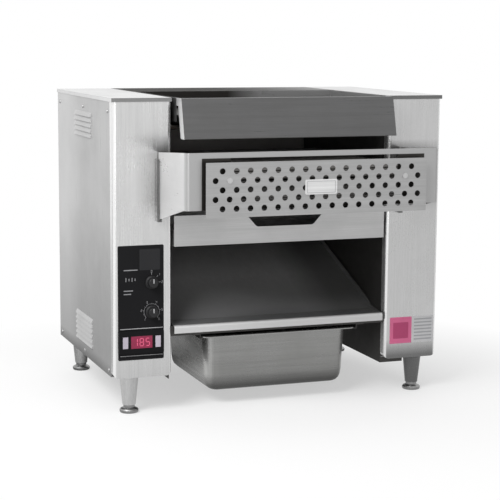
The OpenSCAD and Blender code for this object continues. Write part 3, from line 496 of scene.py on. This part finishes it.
# Settings shared by printed marks and by thin plates
PRINT = {"grain": 1500.0, "strength": 0.1, "depth": 0.00005}
PLATE = {"grain": 1200.0, "strength": 0.1, "depth": 0.00008}
MATS = {
    # Front, side and top are one stainless steel: the side steel is a darker copy as painted shade, the top
    # steel a lighter copy as painted light
    "front": steel("steel_front", grey(0.60), 0.24, "Z", 0.8, vary=0.07, patch=front_patch,
                   relief_strength=0.06),
    "side": steel("steel_side", grey(0.48), 0.32, "Z", 0.5, vary=0.07, patch=side_patch),
    "rear": steel("steel_rear", grey(0.42), 0.40, "Z", 0.45, patch=rear_patch, dull=deck_shade),
    "top": steel("steel_top", grey(0.72), 0.36, "Y", 0.6, patch=lip_patch),
    "guard": steel("steel_guard", grey(0.77), 0.30, "XY", 0.6, vary=0.03, patch=band_patch,
                   relief_strength=0.02),
    "shield": steel("steel_shield", grey(0.38), 0.34, "XY", 0.6),
    "tray": steel("steel_tray", grey(0.46), 0.36, "XY", 0.8, patch=tray_patch),
    "hood": steel("steel_hood", (0.118, 0.118, 0.119), 0.30, "XY", 0.6, stain=(0.098, 0.097, 0.095),
                  patch=visor_patch),
    "inner": steel("steel_inner", (0.06, 0.058, 0.056), 0.5, "Y", 0.7, stain=(0.035, 0.033, 0.031),
                   stain_scale=14.0),
    "soot": steel("steel_soot", (0.028, 0.027, 0.025), 0.55, "Y", 0.6, stain=SOOT_AND_SHADE, stain_scale=14.0),
    "slide": steel("steel_slide", (0.48, 0.48, 0.484), 0.42, "Y", 0.3, stain=(0.40, 0.40, 0.405),
                   patch=slide_patch),
    "pan": steel("steel_pan", (0.31, 0.31, 0.305), 0.26, "XY", 0.85, stain=(0.25, 0.25, 0.24),
                 patch=pan_patch),
    "belt": steel("steel_belt", (0.11, 0.105, 0.10), 0.5, "X", 0.3, stain=(0.06, 0.055, 0.05),
                  stain_scale=30.0),
    "chain": steel("steel_chain", grey(0.10), 0.4, "Z"),
    "turned": steel("steel_turned", (0.07, 0.068, 0.065), 0.40, "X", stain=(0.035, 0.03, 0.026),
                    stain_scale=24.0),
    "element": steel("element_sheath", (0.06, 0.054, 0.05), 0.55, "X", stain=(0.09, 0.06, 0.04),
                     stain_scale=40.0),
    "leg": steel("steel_leg", grey(0.62), 0.24, "Z", 0.9, patch=leg_patch),
    "foot": steel("steel_foot", grey(0.30), 0.35, "Z"),
    "screw": steel("steel_screw", grey(0.5), 0.3, "Z"),
    "bronze": steel("bronze_bush", (0.16, 0.11, 0.06), 0.45, "X", stain=(0.07, 0.05, 0.035),
                    stain_scale=60.0),
    "ceramic": cast("ceramic_bush", (0.30, 0.28, 0.25), 0.6, grain=600.0),
    "gearbox": cast("gearbox_cast", (0.30, 0.31, 0.32), metal=0.9, grain=700.0, strength=0.5, depth=0.0006),
    "motor": cast("motor_enamel", (0.045, 0.06, 0.08), 0.4, grain=500.0, strength=0.3, depth=0.0004),
    "overlay": cast("overlay_black", (0.011, 0.011, 0.012), grain=1600.0, strength=0.2, depth=0.00012,
                    spec=0.08),
    "bezel": cast("bezel_black", (0.007, 0.007, 0.008), 0.42, grain=1500.0, strength=0.2, depth=0.00012,
                  spec=0.1),
    "knob": cast("knob_black", (0.014, 0.014, 0.015), grain=1300.0, depth=0.00015, spec=0.3,
                 patch=pointer_patch),
    "key": cast("key_pale", (0.55, 0.50, 0.58), 0.45, grain=1200.0, strength=0.2, depth=0.0001),
    "pot": cast("pot_can", grey(0.45), 0.35, metal=1.0),
    "board": cast("board_green", (0.02, 0.16, 0.06), 0.35, grain=800.0),
    "ivory": cast("contactor_ivory", (0.62, 0.58, 0.48)),
    "beige": cast("terminal_beige", (0.55, 0.48, 0.36)),
    "gland": cast("gland_black", (0.03, 0.03, 0.032)),
    "fan": cast("fan_black", (0.02, 0.02, 0.021)),
    "window": lit("display_red", 120.0, (0.16, 0.005, 0.035), (0.24, 0.009, 0.055), (0.12, 0.2),
                  (0.6, 0.01, 0.09), 0.12),
    "glow": lit("digit_glow", 300.0, (0.60, 0.08, 0.17), (0.70, 0.12, 0.23), 0.4, (1.0, 0.12, 0.25), 0.20),
    "print": cast("print_white", (0.30, 0.30, 0.31), **PRINT),
    "faint": cast("print_grey", (0.02, 0.02, 0.022), spec=0.2, **PRINT),
    "badge": steel("badge_plate", grey(0.72), 0.45, "XY", 0.4),
    "badge_line": cast("badge_line", (0.42, 0.42, 0.43), 0.45, grain=1200.0),
    "pink": cast("plate_pink", (0.74, 0.16, 0.32), 0.45, **PLATE),
    "pink_dark": cast("plate_pink_dark", (0.48, 0.06, 0.17), 0.45, **PLATE),
    "pale": cast("plate_pale", (0.66, 0.66, 0.67), 0.45, **PLATE),
    "pale_line": cast("plate_line", (0.40, 0.40, 0.42), **PLATE),
}

USE = {
    "front": "left_front_cover right_front_cover",
    "side": "left_side_panel right_side_panel left_chassis right_chassis",
    "rear": "rear_panel",
    "top": "left_top_cover right_top_cover",
    "guard": "guard_frame",
    "shield": "heat_shield",
    "tray": "drip_tray",
    "hood": "hood_shell",
    "inner": "left_inner_wall right_inner_wall crossmembers hood_spacers upper_reflector"
             " bay_runners pan_runners motor_bracket",
    "soot": "conveyor_rails conveyor_mounts",
    "slide": "discharge_slide",
    "pan": "grease_pan",
    "belt": "conveyor_belt",
    "chain": "drive_chain",
    "turned": "drive_shaft idler_shaft motor_sprocket belt_sprockets idler_rollers driven_sprocket",
    "element": "upper_elements lower_elements",
    "ceramic": "element_bushes",
    "bronze": "shaft_bearings",
    "leg": "legs",
    "foot": "foot_front_left foot_front_right foot_back_left foot_back_right",
    "gearbox": "gearbox",
    "motor": "motor",
    "overlay": "control_overlay",
    "bezel": "display_module",
    "window": "display_window",
    "knob": "mode_knob speed_knob",
    "key": "key_left key_right",
    "pot": "control_pots",
    "board": "control_board",
    "ivory": "contactors",
    "beige": "terminal_block",
    "gland": "cable_gland",
    "fan": "fan_housing fan_rotor",
    "screw": "case_screws shield_screws",
}


def dress():
    """Give each solid its material."""
    for key, names in USE.items():
        for name in names.split():
            slots = NODES[name].data.materials
            slots.clear()
            slots.append(MATS[key])


# Fine edge radii, in metres
SHEET_EDGE, MOULDED_EDGE = 0.00035, 0.0003
SHEETS = ("left_front_cover right_front_cover left_side_panel right_side_panel left_top_cover"
          " right_top_cover rear_panel hood_shell drip_tray discharge_slide guard_frame heat_shield")
MOULDED = "display_module key_left key_right control_overlay mode_knob speed_knob"
EDGE_SEGMENTS = 2
EDGE_ANGLE = math.radians(40)


def soften(piece, width):
    edges = piece.modifiers.new("edges", "BEVEL")
    edges.width = width
    edges.segments = EDGE_SEGMENTS
    edges.limit_method = "ANGLE"
    edges.angle_limit = EDGE_ANGLE
    edges.harden_normals = True


def soften_solids():
    for names, width in ((SHEETS, SHEET_EDGE), (MOULDED, MOULDED_EDGE)):
        for name in names.split():
            soften(NODES[name], width)


# Outlines of the small pieces, as lists of (x, z) in the casing frame
CORNER_STEPS = 6
RING_STEPS = 40


def polar(x, z, radius, degrees):
    angle = math.radians(degrees)
    return x + radius * math.cos(angle), z + radius * math.sin(angle)


def rounded(x0, x1, z0, z1, radius):
    """Rectangle with rounded corners."""
    corners = ((x1 - radius, z1 - radius, 0), (x0 + radius, z1 - radius, 90),
               (x0 + radius, z0 + radius, 180), (x1 - radius, z0 + radius, 270))
    return [polar(x, z, radius, start + 90 * i / CORNER_STEPS)
            for x, z, start in corners for i in range(CORNER_STEPS + 1)]


def bar(x, z, length, width, degrees):
    """Bar with pointed ends, centred, its length along the given direction."""
    cos, sin = math.cos(math.radians(degrees)), math.sin(math.radians(degrees))
    end, half = length / 2, width / 2
    points = ((end, 0), (end - half, half), (half - end, half),
              (-end, 0), (half - end, -half), (end - half, -half))
    return [(x + along * cos - across * sin, z + along * sin + across * cos) for along, across in points]


def ring(x, z, inner, outer, start, end):
    """Part of a ring between two angles, in degrees."""
    turns = [start + (end - start) * i / RING_STEPS for i in range(RING_STEPS + 1)]
    outside = [polar(x, z, outer, turn) for turn in turns]
    inside = [polar(x, z, inner, turn) for turn in reversed(turns)]
    return outside + inside


# Seven-segment figures: a at the top, on clockwise to f, and g in the middle
SEGMENTS = {"0": "abcdef", "1": "bc", "2": "abged", "3": "abgcd", "4": "fgbc", "5": "afgcd", "6": "afgedc",
            "7": "abc", "8": "abcdefg", "9": "abcdfg"}
SEGMENT_GAP = 0.35  # part of the stroke that is left open at a joint


def digits(word, x, z, width, height, stroke, step=0):
    """Seven-segment figures, the first one centred at x, z."""
    side, half, quarter = width / 2, height / 2, height / 4
    spots = {"a": (0, half, 0), "g": (0, 0, 0), "d": (0, -half, 0), "b": (side, quarter, 90),
             "c": (side, -quarter, 90), "e": (-side, -quarter, 90), "f": (-side, quarter, 90)}
    shapes = []
    for i, figure in enumerate(word):
        for segment in SEGMENTS[figure]:
            dx, dz, degrees = spots[segment]
            length = (half if degrees else width) - stroke * SEGMENT_GAP
            shapes.append(bar(x + i * step + dx, z + dz, length, stroke, degrees))
    return shapes


# How far a mark and a plate reach into the face that carries them
SUNK, PLATE_SUNK = 0.05, 0.1


def relief(name, shapes, face, height, material, body="broiler", sunk=SUNK, bevel=0.0):
    """One piece of flat shapes that stand proud of a face, riding on a body."""
    bm = bmesh.new()
    for points in shapes:
        fore = [bm.verts.new(at(x, face - height, z)) for x, z in points]
        rear = [bm.verts.new(at(x, face + sunk, z)) for x, z in points]
        bm.faces.new(fore)
        bm.faces.new(list(reversed(rear)))
        for i in range(len(points)):
            j = (i + 1) % len(points)
            bm.faces.new((fore[i], rear[i], rear[j], fore[j]))
    bmesh.ops.recalc_face_normals(bm, faces=bm.faces)
    mesh = bpy.data.meshes.new(name)
    bm.to_mesh(mesh)
    bm.free()
    mesh.materials.append(material)
    piece = bpy.data.objects.new(name, mesh)
    scene.collection.objects.link(piece)
    if bevel:
        soften(piece, bevel)
    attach(piece, body)


def badge():
    """Blank badge with a thin frame on the shield, a little to the right of its middle."""
    shield = front_of("heat_shield")
    x, z = middle_of("heat_shield")
    thick, proud = 1.2, 0.3
    width, height, corner = 69, 30, 3
    x0, z0 = x - 30, z - 14
    x1, z1 = x0 + width, z0 + height
    relief("badge_plate", [rounded(x0, x1, z0, z1, corner)], shield, thick, MATS["badge"],
           "loading_guard", PLATE_SUNK, bevel=0.0004)
    inset_x, inset_z, line, lap, corner = 4, 3.2, 1, 0.8, 0.4
    x0, x1, z0, z1 = x0 + inset_x, x1 - inset_x, z0 + inset_z, z1 - inset_z
    sides = [rounded(x0, x1, z0, z0 + line, corner), rounded(x0, x1, z1 - line, z1, corner),
             rounded(x0, x0 + line, z0 + lap, z1 - lap, corner),
             rounded(x1 - line, x1, z0 + lap, z1 - lap, corner)]
    relief("badge_frame", sides, shield - thick, proud, MATS["badge_line"], "loading_guard", PLATE_SUNK)


def plate():
    """Blank two-tone plate on the right cover: a field with a darker mark, and a field with plain rules."""
    cover = extent("control_overlay")[1].y  # the overlay's back lies on the face of the covers
    edge = extent("right_front_cover")[1].x
    thick, proud = 0.35, 0.1
    width, seam, margin = 53, 1, 5.5
    bottom, top, corner, bevel = 33, 92, 1.5, 0.00012
    right = edge - margin - width
    left = right - seam - width
    field = rounded(left, left + width, bottom, top, corner)
    relief("plate_left", [field], cover, thick, MATS["pink"], sunk=PLATE_SUNK, bevel=bevel)
    inset, inset_low, inset_high, mark_corner = 8, 11, 12, 2
    mark = rounded(left + inset, left + width - inset, bottom + inset_low, top - inset_high, mark_corner)
    relief("plate_mark", [mark], cover - thick, proud, MATS["pink_dark"])
    field = rounded(right, right + width, bottom, top, corner)
    relief("plate_right", [field], cover, thick, MATS["pale"], sunk=PLATE_SUNK, bevel=bevel)
    rules, pitch, line, inset, corner = 7, 7.5, 3, 5, 0.6
    lowest = bottom + 6
    heights = [lowest + pitch * i for i in range(rules)]
    lines = [rounded(right + inset, right + width - inset, z, z + line, corner) for z in heights]
    relief("plate_lines", lines, cover - thick, proud, MATS["pale_line"])


# Marks on the overlay: its front face, the height of print, and the circle of the dial figures
OVERLAY = front_of("control_overlay")
PRINT_HEIGHT = 0.12
FIGURE_RADIUS = 22.6


def dials():
    """Scale from 1 to 6 round the speed knob, and three places beside the mode knob."""
    x, mode_z = middle_of("mode_knob")
    speed_z = middle_of("speed_knob")[1]
    first, turn, steps = 225, 270, 10
    inner, outer, line = 16.4, 17.0, 0.6
    short, long = 1.8, 3.0
    short_radius, long_radius = 18.0, 18.6
    marks = [ring(x, speed_z, inner, outer, first - turn, first)]
    for i in range(steps + 1):
        degrees = first - turn / steps * i
        radius, length = (short_radius, short) if i % 2 else (long_radius, long)
        marks.append(bar(*polar(x, speed_z, radius, degrees), length, line, degrees))
    figures = "123456"
    width, height = 2.2, 4.4
    for i, figure in enumerate(figures):
        degrees = first - turn / (len(figures) - 1) * i
        marks += digits(figure, *polar(x, speed_z, FIGURE_RADIUS, degrees), width, height, line)
    first, step = 90, 45
    radius, length, line = 17.6, 4.4, 0.8
    width, height, stroke = 2.4, 4.8, 0.7
    for i, figure in enumerate("012"):
        degrees = first - step * i
        marks.append(bar(*polar(x, mode_z, radius, degrees), length, line, degrees))
        marks += digits(figure, *polar(x, mode_z, FIGURE_RADIUS, degrees), width, height, stroke)
    relief("dial_marks", marks, OVERLAY, PRINT_HEIGHT, MATS["print"])


def tick_column():
    """Ticks and strokes on the overlay, left of the mode knob."""
    x = middle_of("control_overlay")[0]
    knob = middle_of("mode_knob")[1]
    count, first, level, pitch = 4, x - 32, knob + 7, 6.5
    long, short, width = 9, 6, 1.6
    marks = [bar(first + pitch * i, level, short if i % 2 else long, width, 90) for i in range(count)]
    left, stroke, corner = x - 37, 2, 0.8
    for z, length in ((knob + 26, 30), (knob - 17, 20), (knob - 24, 16)):
        marks.append(rounded(left, left + length, z, z + stroke, corner))
    relief("tick_column", marks, OVERLAY, PRINT_HEIGHT, MATS["print"])


def overlay_field():
    """Grey field on the overlay, above the mode knob."""
    left = middle_of("control_overlay")[0] - 3
    bottom = middle_of("mode_knob")[1] + 26
    side, corner, height = 44, 2, 0.08
    square = rounded(left, left + side, bottom, bottom + side, corner)
    relief("overlay_field", [square], OVERLAY, height, MATS["faint"])


def overlay_lines():
    """Lines over and under the display."""
    x = middle_of("control_overlay")[0]
    lo, hi = extent("display_module")
    left, right, height = x - 45, x + 47, 0.3
    thick, corner = 1.6, 0.6
    thin, corner_thin = 1.1, 0.5
    over, under = hi.z + 3.2, lo.z - 5.5
    lines = [rounded(left, right, over, over + thick, corner),
             rounded(left, right, under, under + thin, corner_thin)]
    relief("overlay_lines", lines, OVERLAY, height, MATS["badge_line"])


def display_digits():
    """Figures on the red window."""
    x, z = middle_of("display_window")
    width, height, stroke, step = 7.4, 15.5, 1.7, 13
    proud = 0.15
    shapes = digits("185", x - step, z, width, height, stroke, step)
    relief("display_digits", shapes, front_of("display_window"), proud, MATS["glow"])


# Light: white surroundings, one broad key and one soft fill, in metres and watts
WHITE = (1, 1, 1, 1)
WORLD_LIGHT = 0.5
KEY = {"place": (-2.2, -1.8, 2.6), "target": (0, 0, 0.5), "size": 1.6, "power": 105}
FILL = {"place": (-0.9, -3.0, 0.7), "target": (0, 0, 0.30), "size": 1.2, "power": 9}
FLOOR_RADIUS, FLOOR_STEPS, FLOOR_LEVEL = 14, 96, -0.0005
SHADOW_WHITE, SHADOW_REACH = 0.5, (0.35, 0.95)
FLOOR_BEFORE, FLOOR_BEHIND = (0.1, 0.3), (0.4, 3.2)


def world():
    """White for the camera, in reflections and through glass, half as bright for lighting."""
    made = bpy.data.worlds.new("World")
    scene.world = made
    made.use_nodes = True
    made.node_tree.nodes.clear()
    t = Tree(made.node_tree)
    path = t.node("LightPath")
    direct = t.math("MAXIMUM", path.outputs["Is Camera Ray"], path.outputs["Is Glossy Ray"])
    direct = t.math("MAXIMUM", direct, path.outputs["Is Transmission Ray"])
    lighting = t.node("Background", Color=WHITE, Strength=WORLD_LIGHT)
    seen = t.node("Background", Color=WHITE, Strength=1.0)
    t.mix(direct, lighting, seen, t.node("OutputWorld"))


def area(name, place, target, size, power):
    """Square area lamp that points at its target."""
    data = bpy.data.lights.new(name, "AREA")
    data.shape = "RECTANGLE"
    data.size = size
    data.size_y = size
    data.energy = power
    lamp = bpy.data.objects.new(name, data)
    scene.collection.objects.link(lamp)
    lamp.location = place
    lamp.rotation_euler = (Vector(target) - Vector(place)).to_track_quat("-Z", "Y").to_euler()


def floor_material():
    """White further out, with the object's soft shadow, and dimmer when mirrored from behind the object."""
    m = Mat("floor_pale")
    m.shade("Roughness", 0.9)
    m.shade("Specular IOR Level", 0.1)
    path = m.node("LightPath")
    seen, mirrored = path.outputs["Is Camera Ray"], path.outputs["Is Glossy Ray"]
    m.shade("Base Color", m.blend(seen, grey(0.36), grey(0.94)))
    distance = m.node("VectorMath", operation="LENGTH")
    m.put(m.coord.outputs["Object"], distance.inputs[0])
    away = m.ramp(distance.outputs["Value"], SHADOW_WHITE, 1.0, *SHADOW_REACH)
    before, behind = m.fall(m.axis("Y"), *FLOOR_BEFORE), m.rise(m.axis("Y"), *FLOOR_BEHIND)
    mirrored = m.product(mirrored, m.math("MAXIMUM", before, behind))
    white = m.product(away, m.math("MAXIMUM", seen, mirrored))
    m.mix(white, m.shader, m.node("Emission", Strength=1.0), m.tree.nodes["Material Output"])
    return m.material


def floor():
    mesh = bpy.data.meshes.new("floor")
    bm = bmesh.new()
    bmesh.ops.create_circle(bm, cap_ends=True, radius=FLOOR_RADIUS, segments=FLOOR_STEPS)
    bm.to_mesh(mesh)
    bm.free()
    mesh.materials.append(floor_material())
    ground = bpy.data.objects.new("floor", mesh)
    scene.collection.objects.link(ground)
    ground.location.z = FLOOR_LEVEL


camera()
dress()
badge()
plate()
dials()
tick_column()
overlay_field()
overlay_lines()
display_digits()
soften_solids()
world()
area("key", **KEY)
area("fill", **FILL)
floor()
